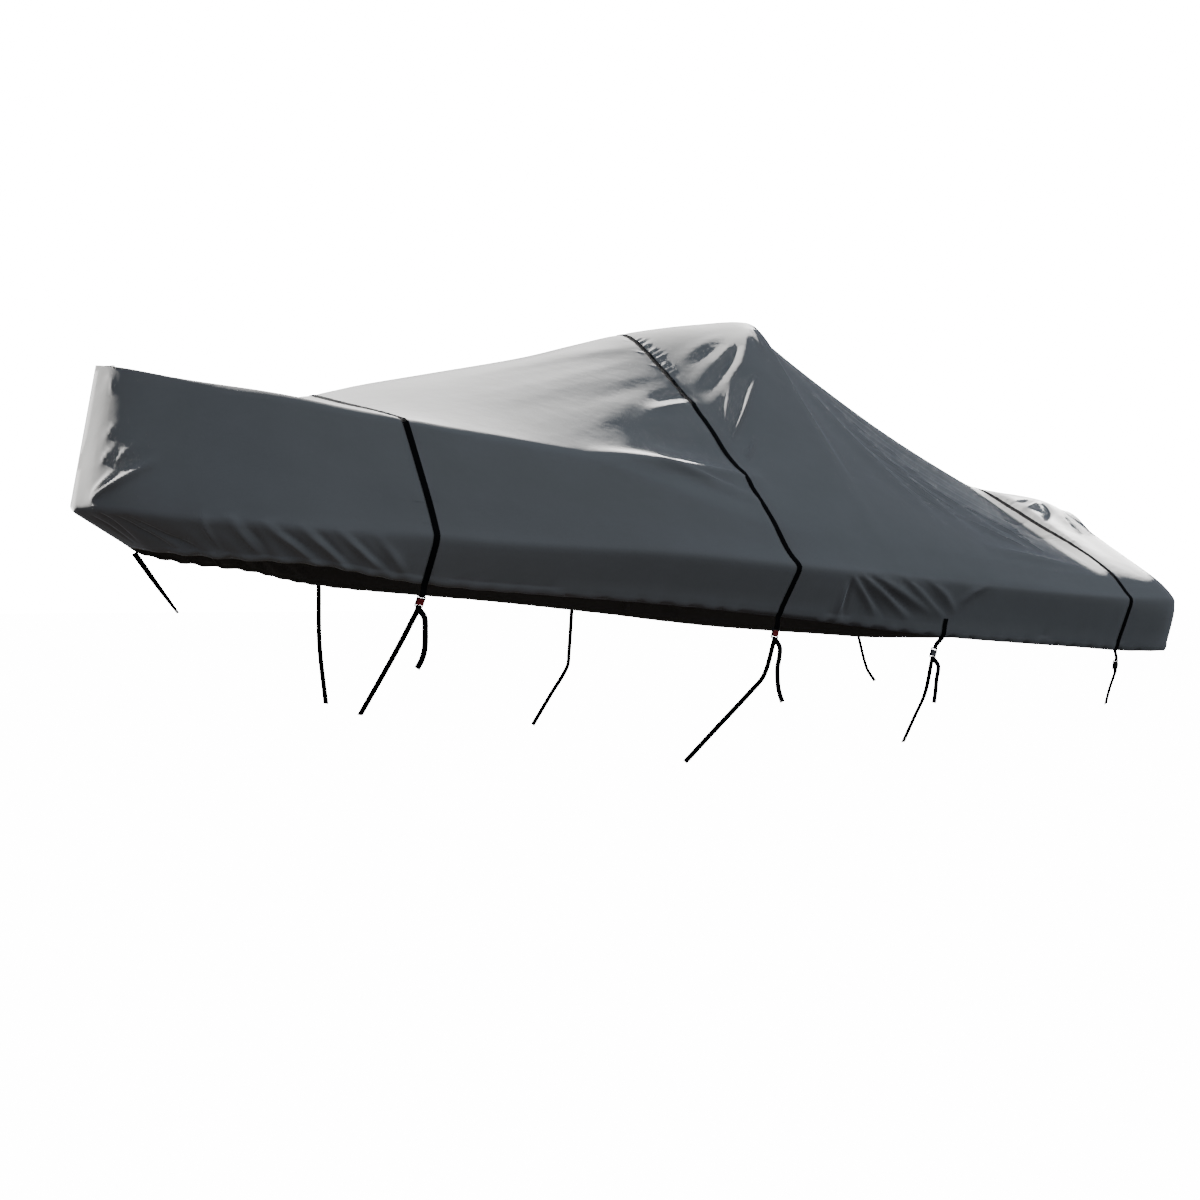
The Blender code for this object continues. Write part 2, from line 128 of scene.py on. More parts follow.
def addCamera():
    # a level camera to port of the bow, turned a little aft; the horizon lies just above mid-height
    camera = bpy.data.cameras.new("camera")
    camera.sensor_width, camera.lens = 36.0, view["lensMillimetres"]
    camera.shift_y = view["horizonShift"]
    camera.clip_end = 500.0
    holder = newObject("camera", camera)
    holder.location = placed(view["cameraAt"])
    holder.rotation_euler = (np.pi / 2, 0.0, -np.radians(view["turnDegrees"]))
    bpy.context.scene.camera = holder


def addFloor():
    # a wide flat square at ground level; it looks nearly white but throws little light back up
    half, low = view["floorHalf"], -peakHeight
    corners = [(-half, -half, low), (half, -half, low), (half, half, low), (-half, half, low)]
    mesh = bpy.data.meshes.new("floor")
    mesh.from_pydata(corners, [], [(0, 1, 2, 3)])
    floor = newObject("floor", mesh)
    material, tree, shader = newMaterial("pale_studio_floor")
    shader.inputs["Base Color"].default_value = linearColour(view["floorBounce"])
    shader.inputs["Roughness"].default_value = 0.9
    shader.inputs["Specular IOR Level"].default_value = 0.0
    path = addNode(tree, "ShaderNodeLightPath")
    seen = addNode(tree, "ShaderNodeMath", {"operation": "MULTIPLY", 1: view["floorGlowShare"]},
                   {0: (path, "Is Camera Ray")})
    glow = addNode(tree, "ShaderNodeEmission", {"Strength": view["floorGlow"]})
    mixed = addNode(tree, "ShaderNodeMixShader", None, {0: (seen, 0), 1: (shader, 0), 2: (glow, 0)})
    tree.links.new(mixed.outputs[0], tree.nodes["Material Output"].inputs["Surface"])
    mesh.materials.append(material)


def addLight():
    # a key light from starboard, a little ahead, and a very wide, weak fill from port, a little aft, that
    # tells the two sides of a pleat apart; both under an even sky that is weak and a little cool
    for name in ("key", "fill"):
        light = bpy.data.lights.new(name, "SUN")
        light.energy, light.angle = view[name]["strength"], np.radians(view[name]["degrees"])
        light.color = view[name]["colour"]
        x, y, z = unit(view[name]["towards"])
        newObject(name, light).rotation_euler = (0.0, np.arccos(z), np.arctan2(y, x))
    world = bpy.data.worlds.new("studio")
    bpy.context.scene.world = world
    world.use_nodes = True
    tree = world.node_tree
    path = addNode(tree, "ShaderNodeLightPath")
    sky, bright = (*view["skyColour"], 1.0), (*(view["backdrop"],) * 3, 1.0)
    colour = addNode(tree, "ShaderNodeMix", {"data_type": "RGBA", 6: sky, 7: bright},
                     {0: (path, "Is Camera Ray")})
    tree.links.new(colour.outputs[2], tree.nodes["Background"].inputs["Color"])


# the cloth's shape: at each station along it, the places of its ridge, rail edge, rub rail and hem, how
# full the roof is in its upper and lower half, and how round its crown is
sectionColumns = ("station", "ridgeX", "ridgeZ", "edgeX", "edgeB", "edgeZ",
                  "railX", "railB", "railZ", "hemX", "hemB", "hemZ", "upper", "lower", "crown")
sectionTable = np.array([
    (0.00, 0.096, 2.325, 0.096, 0.000, 2.325, -0.006, 0.000, 1.708, 0.233, 0.000, 1.553, 0.000, 0.000, 0.35),
    (0.12, 0.155, 2.318, 0.158, 0.110, 2.311, 0.074, 0.156, 1.698, 0.298, 0.200, 1.536, 0.000, 0.000, 0.35),
    (0.40, 0.390, 2.296, 0.425, 0.320, 2.242, 0.354, 0.450, 1.660, 0.530, 0.500, 1.500, -0.005, 0.000, 0.30),
    (0.80, 0.690, 2.268, 0.760, 0.560, 2.170, 0.800, 0.765, 1.613, 0.870, 0.745, 1.468, -0.014, 0.000, 0.25),
    (1.10, 0.880, 2.243, 1.020, 0.690, 2.108, 1.098, 0.882, 1.593, 1.080, 0.825, 1.424, -0.016, 0.000, 0.25),
    (1.29, 1.013, 2.268, 1.190, 0.757, 2.075, 1.287, 0.950, 1.583, 1.220, 0.862, 1.400, -0.018, 0.000, 0.28),
    (1.50, 1.240, 2.332, 1.410, 0.845, 2.030, 1.500, 1.003, 1.562, 1.440, 0.905, 1.376, -0.012, 0.000, 0.45),
    (1.75, 1.530, 2.402, 1.660, 0.915, 1.990, 1.750, 1.050, 1.548, 1.680, 0.950, 1.357, -0.008, -0.014, 0.70),
    (2.30, 2.060, 2.532, 2.220, 1.003, 1.896, 2.300, 1.122, 1.522, 2.240, 1.025, 1.313, -0.004, 0.000, 0.42),
    (2.60, 2.335, 2.618, 2.539, 1.022, 1.827, 2.603, 1.140, 1.499, 2.544, 1.053, 1.284, -0.012, 0.022, 0.26),
    (2.90, 2.640, 2.708, 2.850, 1.030, 1.768, 2.900, 1.150, 1.475, 2.847, 1.070, 1.252, -0.006, 0.022, 0.17),
    (3.20, 3.060, 2.795, 3.130, 1.010, 1.740, 3.180, 1.153, 1.455, 3.150, 1.075, 1.220, -0.008, 0.014, 0.28),
    (3.43, 3.368, 2.838, 3.400, 0.990, 1.730, 3.420, 1.155, 1.440, 3.400, 1.080, 1.190, -0.016, 0.010, 0.18),
    (3.52, 3.470, 2.772, 3.500, 0.995, 1.715, 3.510, 1.155, 1.432, 3.490, 1.080, 1.180, -0.043, 0.000, 0.10),
    (3.83, 3.900, 2.527, 3.850, 1.010, 1.660, 3.840, 1.155, 1.405, 3.830, 1.080, 1.145, -0.036, 0.012, 0.04),
    (4.30, 4.400, 2.276, 4.330, 1.010, 1.580, 4.310, 1.153, 1.370, 4.310, 1.075, 1.107, -0.044, 0.004, 0.02),
    (4.75, 4.850, 2.080, 4.780, 0.990, 1.525, 4.750, 1.145, 1.343, 4.760, 1.065, 1.075, -0.042, -0.016, 0.02),
    (4.90, 5.000, 2.021, 4.930, 0.983, 1.511, 4.903, 1.141, 1.335, 4.897, 1.061, 1.064, -0.036, -0.026, 0.04),
    (5.08, 5.180, 1.985, 5.110, 0.975, 1.495, 5.085, 1.135, 1.326, 5.060, 1.055, 1.052, -0.004, -0.012, 0.24),
    (5.30, 5.380, 1.970, 5.320, 0.965, 1.475, 5.350, 1.125, 1.320, 5.310, 1.052, 1.044, -0.006, -0.030, 0.22),
    (5.45, 5.520, 1.955, 5.465, 0.930, 1.468, 5.510, 1.070, 1.315, 5.470, 1.012, 1.042, -0.006, -0.028, 0.24),
    (5.60, 5.620, 1.936, 5.565, 0.780, 1.505, 5.610, 0.910, 1.310, 5.560, 0.860, 1.045, -0.012, -0.020, 0.30),
    (5.85, 5.760, 1.900, 5.695, 0.470, 1.635, 5.745, 0.570, 1.335, 5.680, 0.550, 1.065, -0.020, -0.020, 0.35),
    (6.05, 5.840, 1.880, 5.810, 0.190, 1.780, 5.880, 0.250, 1.375, 5.820, 0.250, 1.090, 0.000, 0.000, 0.40),
    (6.20, 5.880, 1.852, 5.880, 0.000, 1.852, 5.930, 0.000, 1.400, 5.880, 0.000, 1.100, 0.000, 0.000, 0.40),
])
shoulderShare = 0.22  # how far up the side from the rub rail the shoulder is
lastStation = sectionTable[-1, 0]
# how far each corner's curve reaches in rings: down, what is added to that aft, up, and what is added aft
cornerReach = {
    "rail": (0.12, 0.25, 0.16, 0.42),
    "shoulder": (0.35, 0.0, 0.15, 0.0),
    "edge": (0.07, 0.5, 0.035, 0.4),
}

# each fold runs along three (station, ring) points and has a height, a width and how sharp its crest is, from
# 0 for a round swell to 1 for a crease: the peak's first, then the fore roof's, the aft roof's, the stern's,
# the nose's, the bow band's and the quarter's
foldColumns = ("s0", "r0", "s1", "r1", "s2", "r2", "height", "width", "sharp")
foldTable = np.array([
    (3.42, 3.88, 3.27, 3.60, 3.08, 3.33, 0.028, 0.110, 0.0),
    (3.36, 3.83, 3.20, 3.60, 2.95, 3.43, 0.014, 0.032, 0.4),
    (3.25, 3.70, 3.12, 3.60, 2.98, 3.50, -0.007, 0.020, 0.2),
    (3.32, 3.80, 3.15, 3.66, 2.97, 3.56, 0.011, 0.030, 0.4),
    (3.16, 3.73, 3.08, 3.69, 3.00, 3.65, -0.005, 0.018, 0.3),
    (3.26, 3.80, 3.13, 3.75, 2.98, 3.68, 0.006, 0.024, 0.4),
    (3.11, 3.52, 3.02, 3.42, 2.94, 3.32, 0.012, 0.013, 0.8),
    (3.22, 3.52, 3.08, 3.38, 2.94, 3.25, 0.024, 0.013, 0.8),
    (3.05, 3.23, 2.99, 3.17, 2.94, 3.11, 0.014, 0.013, 0.8),
    (3.39, 3.86, 3.37, 3.77, 3.35, 3.69, 0.012, 0.013, 0.6),
    (1.80, 3.24, 2.36, 3.46, 2.78, 3.56, -0.005, 0.070, 0.0),
    (1.94, 3.72, 2.42, 3.82, 2.81, 3.82, 0.010, 0.070, 0.0),
    (2.58, 3.37, 2.72, 3.41, 2.87, 3.45, 0.018, 0.030, 0.3),
    (2.66, 3.45, 2.76, 3.48, 2.87, 3.50, -0.009, 0.022, 0.3),
    (2.42, 3.20, 2.60, 3.19, 2.90, 3.15, -0.028, 0.095, 0.0),
    (2.10, 3.01, 2.44, 2.99, 2.92, 2.98, 0.034, 0.042, 0.3),
    (2.38, 2.99, 2.60, 2.91, 2.84, 2.79, 0.022, 0.022, 0.5),
    (3.60, 3.88, 3.70, 3.60, 3.90, 3.00, 0.014, 0.050, 0.2),
    (3.78, 3.84, 3.90, 3.50, 4.12, 3.00, 0.014, 0.045, 0.2),
    (4.02, 3.84, 4.20, 3.40, 4.45, 3.05, 0.012, 0.045, 0.2),
    (4.21, 3.17, 4.36, 3.03, 4.53, 2.94, 0.014, 0.018, 0.6),
    (4.35, 3.40, 4.50, 3.24, 4.65, 2.96, 0.014, 0.018, 0.6),
    (4.77, 3.50, 4.66, 3.28, 4.62, 3.05, 0.008, 0.016, 0.6),
    (4.18, 2.76, 4.48, 2.75, 4.80, 2.74, 0.018, 0.034, 0.5),
    (5.42, 3.84, 5.31, 3.69, 5.06, 3.49, -0.014, 0.014, 0.6),
    (5.01, 3.72, 5.12, 3.75, 5.34, 3.87, -0.009, 0.012, 0.6),
    (4.99, 3.64, 5.12, 3.69, 5.36, 3.84, 0.010, 0.020, 0.4),
    (5.42, 3.74, 5.30, 3.50, 5.16, 3.30, 0.008, 0.030, 0.3),
    (4.90, 3.46, 4.92, 3.38, 4.97, 3.32, -0.010, 0.018, 0.5),
    (4.80, 3.60, 4.88, 3.56, 4.97, 3.55, -0.008, 0.018, 0.5),
    (0.11, 1.36, 0.20, 1.81, 0.32, 2.20, 0.022, 0.016, 0.7),
    (0.11, 1.53, 0.15, 1.79, 0.19, 2.02, 0.014, 0.012, 0.7),
    (0.19, 2.13, 0.21, 2.22, 0.25, 2.33, 0.014, 0.011, 0.7),
    (0.13, 2.13, 0.15, 2.20, 0.18, 2.27, 0.010, 0.010, 0.7),
    (0.13, 2.38, 0.15, 2.42, 0.17, 2.46, 0.009, 0.009, 0.7),
    (0.09, 2.93, 0.12, 2.86, 0.13, 2.78, 0.006, 0.009, 0.6),
    (0.18, 0.86, 0.20, 0.53, 0.25, 0.16, -0.018, 0.012, 0.7),
    (0.22, 0.92, 0.28, 0.46, 0.36, 0.14, -0.016, 0.012, 0.7),
    (0.12, 0.96, 0.13, 0.70, 0.12, 0.30, -0.013, 0.012, 0.7),
    (0.06, 0.94, 0.08, 0.60, 0.08, 0.20, -0.010, 0.010, 0.7),
    (0.49, 1.16, 0.47, 0.77, 0.43, 0.22, 0.016, 0.016, 0.6),
    (0.57, 1.20, 0.58, 0.64, 0.57, 0.10, 0.024, 0.016, 0.6),
    (0.61, 1.12, 0.62, 0.64, 0.61, 0.10, -0.012, 0.010, 0.6),
    (0.67, 1.14, 0.73, 0.56, 0.78, 0.10, 0.024, 0.016, 0.6),
    (0.71, 1.04, 0.77, 0.54, 0.82, 0.12, -0.012, 0.010, 0.6),
    (0.79, 1.08, 0.85, 0.56, 0.93, 0.09, 0.022, 0.016, 0.6),
    (0.84, 1.00, 0.89, 0.54, 0.97, 0.12, -0.012, 0.010, 0.6),
    (0.92, 1.06, 1.01, 0.54, 1.13, 0.14, 0.020, 0.016, 0.6),
    (0.97, 0.98, 1.05, 0.52, 1.17, 0.16, -0.010, 0.010, 0.6),
    (1.07, 0.94, 1.16, 0.46, 1.23, 0.15, 0.015, 0.016, 0.6),
    (3.21, 1.04, 3.30, 0.66, 3.39, 0.28, 0.020, 0.018, 0.6),
    (3.24, 0.96, 3.34, 0.62, 3.45, 0.28, -0.012, 0.011, 0.6),
    (3.26, 1.06, 3.40, 0.70, 3.58, 0.28, 0.022, 0.018, 0.6),
    (3.30, 1.00, 3.45, 0.68, 3.63, 0.32, -0.012, 0.011, 0.6),
    (3.33, 1.08, 3.51, 0.74, 3.71, 0.40, 0.020, 0.018, 0.6),
    (3.52, 1.04, 3.62, 0.78, 3.77, 0.40, 0.020, 0.018, 0.6),
    (3.56, 0.98, 3.66, 0.74, 3.80, 0.42, -0.011, 0.011, 0.6),
    (3.66, 1.04, 3.76, 0.77, 3.84, 0.50, 0.016, 0.017, 0.6),
    (3.20, 0.84, 3.20, 0.46, 3.20, 0.12, 0.018, 0.016, 0.6),
    (3.23, 0.90, 3.23, 0.50, 3.24, 0.12, -0.013, 0.010, 0.6),
    (4.02, 1.16, 3.93, 0.88, 3.86, 0.62, 0.015, 0.020, 0.5),
    (3.24, 1.60, 3.25, 0.90, 3.26, 0.12, 0.003, 0.008, 0.5),
])
foldStyle = {"reach": 4.0, "endShare": 0.25, "roundPower": 2.0, "sharpening": 0.8}
otherSideShift, otherSideShare = 0.06, 0.8  # the folds to starboard are moved a little, and are lower
# each strap's station at the hem, the rub rail, the rail edge and the ridge
strapTable = {
    "front": (1.33, 1.29, 1.31, 1.29),
    "middle": (2.90, 2.91, 2.85, 2.87),
    "stern": (5.05, 5.07, 5.04, 4.96),
}
cover = {
    "thick": 0.003,
    "strapBite": 0.004,
    "strapBiteWidth": 0.030,
    "puckerHeight": 0.010,
    "puckerSpacing": 0.043,
    "puckerReach": 0.048,
    "hemChannel": 0.0045,
    "hemChannelRings": 0.17,
    "hemScallop": 0.006,
    "hemWave": 0.125,
    "lineHeight": 0.0016,
    "swellHeight": 0.004,
    "flatSize": (4.6, 7.4),
    "flatArea": 25.0,
    "sunlit": "#8d8c8b",
    "shaded": "#858481",
}


def monotoneCurve(knots, values, x):
    # a cubic through the knots that never overshoots them
    step = np.diff(knots)
    slope = np.diff(values) / step
    tangent = np.zeros_like(values)
    weightA, weightB = 2 * step[1:] + step[:-1], step[1:] + 2 * step[:-1]
    with np.errstate(divide="ignore", invalid="ignore"):
        mean = (weightA + weightB) / (weightA / slope[:-1] + weightB / slope[1:])
    tangent[1:-1] = np.where(slope[:-1] * slope[1:] > 0, mean, 0.0)
    tangent[0], tangent[-1] = slope[0], slope[-1]
    return cubicThrough(knots, values, tangent, x)


def strapStation(name, ring):
    return np.interp(ring, (0, 1, 3, 4), strapTable[name])


def tautCloth(station, ring):
    # ring 0 hem, 1 rub rail, 2 shoulder, 3 rail edge, 4 ridge: straight runs between the lines, each corner
    # a quadratic curve, and the roof a crowned run up to the ridge, as full or hollow as the table says
    at = {name: monotoneCurve(sectionTable[:, 0], sectionTable[:, k], station)
          for k, name in enumerate(sectionColumns) if k}
    middle = np.zeros_like(station)
    ridge = np.stack([at["ridgeX"], middle, at["ridgeZ"]], -1)
    edge = np.stack([at["edgeX"], -at["edgeB"], at["edgeZ"]], -1)
    rail = np.stack([at["railX"], -at["railB"], at["railZ"]], -1)
    hem = np.stack([at["hemX"], -at["hemB"], at["hemZ"]], -1)
    shoulder = rail + shoulderShare * (edge - rail)

    def creased(ring):
        up = np.clip(ring, 0, 4)[..., None]
        side = hem + (rail - hem) * np.clip(up, 0, 1)
        side = side + (shoulder - rail) * np.clip(up - 1, 0, 1) + (edge - shoulder) * np.clip(up - 2, 0, 1)
        out = np.clip(4 - ring, 0, 1)
        crown = at["crown"]
        rise = 1 - (np.sqrt(out ** 2 + crown ** 2) - crown) / (np.sqrt(1 + crown ** 2) - crown)
        roof = edge + (ridge - edge) * rise[..., None]
        roof[..., 1] = edge[..., 1] * out
        hump = 27 / 4 * out * (1 - out)  # times out or 1 - out, it is 1 at its highest
        roof[..., 2] += hump * (at["upper"] * (1 - out) + at["lower"] * out)
        return np.where(up > 3, roof, side)

    point = creased(ring)
    aft, stern = smoothStep(1.9, 3.0, station), smoothStep(4.7, 5.5, station)
    for corner, name, knot, grown in ((1, "rail", rail, stern), (2, "shoulder", shoulder, 0),
                                      (3, "edge", edge, aft)):
        low, lowAft, high, highAft = cornerReach[name]
        below, above = low + lowAft * grown, high + highAft * grown
        t = (ring - corner + below) / (below + above)
        inside = ((t > 0) & (t < 1))[..., None]
        t = np.clip(t, 0, 1)[..., None]
        start, end = creased(corner - below + 0 * ring), creased(corner + above + 0 * ring)
        point = np.where(inside, (1 - t) ** 2 * start + 2 * t * (1 - t) * knot + t * t * end, point)
    return point


def clothNormal(station, ring):
    # the cross product of the cloth's two directions, turned upright where the halves meet
    step = 0.004
    ahead, behind = np.maximum(station - step, 0), np.minimum(station + step, lastStation)
    along = tautCloth(behind, ring) - tautCloth(ahead, ring)
    up = tautCloth(station, np.minimum(ring + step, 4)) - tautCloth(station, np.maximum(ring - step, 0))
    normal = np.cross(along, up)
    normal[..., 1] *= smoothStep(0, 0.1, 4 - ring)
    return normal / np.maximum(np.linalg.norm(normal, axis=-1, keepdims=True), 1e-9)


def foldHeight(point, rows, shift, share):
    # each fold is a swell along a bent line: exp(-(away/width)^power), thinner at both of its ends
    height = np.zeros(point.shape[:-1])
    for row in rows:
        fold = dict(zip(foldColumns, row))
        knots = tautCloth(np.array([fold["s0"], fold["s1"], fold["s2"]]) + shift,
                          np.array([fold["r0"], fold["r1"], fold["r2"]]))
        reach = foldStyle["reach"] * fold["width"]
        near = np.all((point > knots.min(0) - reach) & (point < knots.max(0) + reach), axis=-1)
        here = point[near]
        nearest, along = np.full(len(here), np.inf), np.zeros(len(here))
        for part in (0, 1):
            start, run = knots[part], knots[part + 1] - knots[part]
            t = np.clip((here - start) @ run / (run @ run), 0, 1)
            away = np.linalg.norm(here - start - t[..., None] * run, axis=-1)
            along = np.where(away < nearest, (part + t) / 2, along)
            nearest = np.minimum(nearest, away)
        taper = foldStyle["endShare"] + (1 - foldStyle["endShare"]) * np.sin(np.pi * along)
        power = foldStyle["roundPower"] - foldStyle["sharpening"] * fold["sharp"]
        height[near] += share * fold["height"] * taper * np.exp(-(nearest / fold["width"]) ** power)
    return height


# how strongly each strap gathers the cloth ahead of it and aft of it, and the two rings it does so between
gatherTable = {
    "front": (0.30, 0.25, 3.10, 3.90),
    "middle": (0.45, 1.00, 3.28, 3.95),
    "stern": (0.50, 0.60, 3.15, 3.90),
}


def gatherHeight(station, ring):
    # beside a tight strap: a ridge every puckerSpacing along it, ((1 + cos)/2)^3, dying out to both sides as
    # exp(-(off/reach)^2), each ridge with its own strength
    height = np.zeros(station.shape)
    rings = np.linspace(2.9, 4.0, 45)
    for name, (ahead, behind, low, high) in gatherTable.items():
        far = runLength(tautCloth(strapStation(name, rings), rings))
        off = station - strapStation(name, ring)
        turn = (np.interp(ring, rings, far) - 0.5 * np.abs(off)) / cover["puckerSpacing"]
        turn = turn + 0.25 * np.sin(1.9 * turn)  # no two ridges are the same distance apart
        own = 0.7 + 0.3 * np.sin(12.9 * np.round(turn))
        ridge = ((1.0 + np.cos(2 * np.pi * turn)) / 2) ** 3
        # none right under the strap
        strength = np.where(off < 0, ahead, behind) * np.abs(off) / (np.abs(off) + 0.012)
        reach = cover["puckerReach"] * (0.7 + 0.5 * own)
        span = smoothStep(low, low + 0.12, ring) * smoothStep(0, 0.06, high - ring)
        height += cover["puckerHeight"] * own * strength * ridge * np.exp(-(off / reach) ** 2) * span
    return height


def lineHeight(station, ring):
    # faint pull lines that fan out from two points near the peak, forward and aft: sines of a line's slope
    ahead = (3.92 - ring) / np.maximum(3.52 - station, 0.1)
    behind = (3.96 - ring) / np.maximum(station - 3.22, 0.1)
    slow = 0.5 * np.sin(5.1 * station + 1.0)  # so that no line is quite straight
    fore = np.sin(52 * ahead + slow) + 0.7 * np.sin(97 * ahead + 1.1) + 0.5 * np.sin(143 * ahead - slow)
    aft = np.sin(47 * behind + slow) + 0.7 * np.sin(89 * behind + 0.4) + 0.5 * np.sin(151 * behind - slow)
    roof = smoothStep(3.02, 3.2, ring) * smoothStep(0, 0.12, 4 - ring)
    fore = fore * smoothStep(1.5, 2.3, station) * smoothStep(0, 0.15, 2.85 - station)
    aft = aft * smoothStep(3.65, 3.95, station) * smoothStep(0, 0.5, 5.0 - station)
    return cover["lineHeight"] * roof * (0.45 * fore + aft)


def hemHeight(station, ring):
    # the channel along the hem that the cord runs in, a half round, and the band's waves above it, which
    # are strongest at the bow
    up = np.clip(ring / cover["hemChannelRings"], 0, 1)
    channel = cover["hemChannel"] * np.sin(np.pi * up) ** 0.7
    low = np.clip(1 - ring, 0, 1)
    bow = smoothStep(0.1, 0.4, station) * smoothStep(0, 1.2, 2.0 - station)
    wave = np.sin(2 * np.pi * station / cover["hemWave"] + 1.2 * np.sin(4.3 * station)) * (0.35 + bow)
    return channel + cover["hemScallop"] * wave * low ** 1.4


def clothHeight(station, ring, point, side):
    # how far the folded cloth stands out of the taut one: folds, a slow swell, gathers, pull lines and hem,
    # all dying out at the middle line, the stem and the stern, less the bite of each strap
    shift, share = (0.0, 1.0) if side < 0 else (otherSideShift, otherSideShare)
    height = foldHeight(point, foldTable, shift, share)
    swell = np.sin(2.3 * station + 1.7 * side)
    height += cover["swellHeight"] * swell * np.sin(2.9 * ring + 0.9 * station + side)
    fine = gatherHeight(station, ring) + lineHeight(station + shift, ring)
    height += share * fine + hemHeight(station, ring)
    middle, stem = smoothStep(0, 0.10, 4 - ring), smoothStep(0, 0.12, station)
    height *= middle * stem * smoothStep(0, 0.12, lastStation - station)
    for name in strapTable:
        bite = np.exp(-((station - strapStation(name, ring)) / cover["strapBiteWidth"]) ** 2)
        height = height - cover["strapBite"] * bite
    return height


def cloth(station, ring, side):
    # the folded cloth in the frame: side is -1 to port and 1 to starboard
    station, ring = np.broadcast_arrays(np.asarray(station, float), np.asarray(ring, float))
    point = tautCloth(station, ring)
    height = clothHeight(station, ring, point, side)
    point = point + clothNormal(station, ring) * height[..., None]
    point[..., 1] *= -side
    return placed(point)


def spaced(spans):
    # a row of values with its own spacing in each span: (from, to, steps)
    inner = [np.linspace(start, end, steps, endpoint=False) for start, end, steps in spans]
    return np.concatenate(inner + [[spans[-1][1]]])


# the fine grid, closest where folds are small: both lists are whole numbers of cellSteps long
stationList = spaced(((0, 0.5, 64), (0.5, 2.2, 112), (2.2, 2.75, 64), (2.75, 3.1, 60), (3.1, 3.5, 56),
                      (3.5, 4.1, 52), (4.1, 5.6, 140), (5.6, lastStation, 40)))
ringList = spaced(((0, 0.20, 8), (0.20, 0.86, 12), (0.86, 1.18, 12), (1.18, 2.9, 40), (2.9, 3.06, 12),
                   (3.06, 4, 188)))
cellStep, fineCells = 4, 1750
farSideWeight = 0.4  # a bend to starboard counts for less when fine cells are given out
mapLine = 70  # the line of the grid, below the rail edge, that the cloth map's length is measured along


def quadsOf(index):
    # the four corners of each cell of a grid of point numbers, facing outwards
    corners = np.stack([index[1:, :-1], index[1:, 1:], index[:-1, 1:], index[:-1, :-1]], -1)
    return corners.reshape(-1, 4).tolist()


def newPiece(name, points, faces, material, place=None, thick=0.0, offset=0.0):
    # a smooth mesh with a UV map in metres, given for each corner of each face, thickened if it is a sheet
    mesh = bpy.data.meshes.new(name)
    mesh.from_pydata(np.asarray(points).reshape(-1, 3).tolist(), [], faces)
    mesh.polygons.foreach_set("use_smooth", np.ones(len(mesh.polygons), bool))
    if place is not None:
        layer = mesh.uv_layers.new(name="clothMap")
        layer.data.foreach_set("uv", np.asarray(place, np.float32).ravel())
    mesh.materials.append(material)
    piece = newObject(name, mesh)
    if thick:
        wall = piece.modifiers.new("thickness", "SOLIDIFY")
        wall.thickness, wall.offset, wall.use_even_offset = thick, offset, True
    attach(piece, "root")
    return piece


def adaptedFaces(points):
    # cells of cellStep by cellStep points: the ones that bend the most keep every point, the others are one
    # face, which takes in the points of a finer neighbour's edge, so that no gap opens between them
    s = cellStep
    rows, columns = (points.shape[0] - 1) // s, (points.shape[1] - 1) // s
    t = np.arange(s + 1) / s
    bend = np.zeros((rows, columns))
    corner = points[::s, ::s]
    for i in range(s + 1):
        for j in range(s + 1):
            flat = ((1 - t[i]) * (1 - t[j]) * corner[:-1, :-1] + t[i] * (1 - t[j]) * corner[1:, :-1]
                    + (1 - t[i]) * t[j] * corner[:-1, 1:] + t[i] * t[j] * corner[1:, 1:])
            real = points[i:i + rows * s:s, j:j + columns * s:s]
            bend = np.maximum(bend, np.linalg.norm(real - flat, axis=-1))
    bend[:, columns // 2:] *= farSideWeight
    fine = np.zeros((rows + 2, columns + 2), bool)
    fine[1:-1, 1:-1] = bend > np.sort(bend.ravel())[-fineCells]
    fine[0] = fine[-1] = True
    index = np.arange(points.shape[0] * points.shape[1]).reshape(points.shape[:2])
    faces = []
    for row in range(rows):
        for column in range(columns):
            cell = index[row * s:row * s + s + 1, column * s:column * s + s + 1]
            if fine[row + 1, column + 1]:
                faces += quadsOf(cell)
            else:
                up = cell[-1, ::1 if fine[row + 2, column + 1] else s]
                far = cell[::1 if fine[row + 1, column + 2] else s, -1]
                down = cell[0, ::1 if fine[row, column + 1] else s]
                near = cell[::1 if fine[row + 1, column] else s, 0]
                faces.append(np.concatenate([up[:-1], far[:0:-1], down[:0:-1], near[:-1]]).tolist())
    return faces


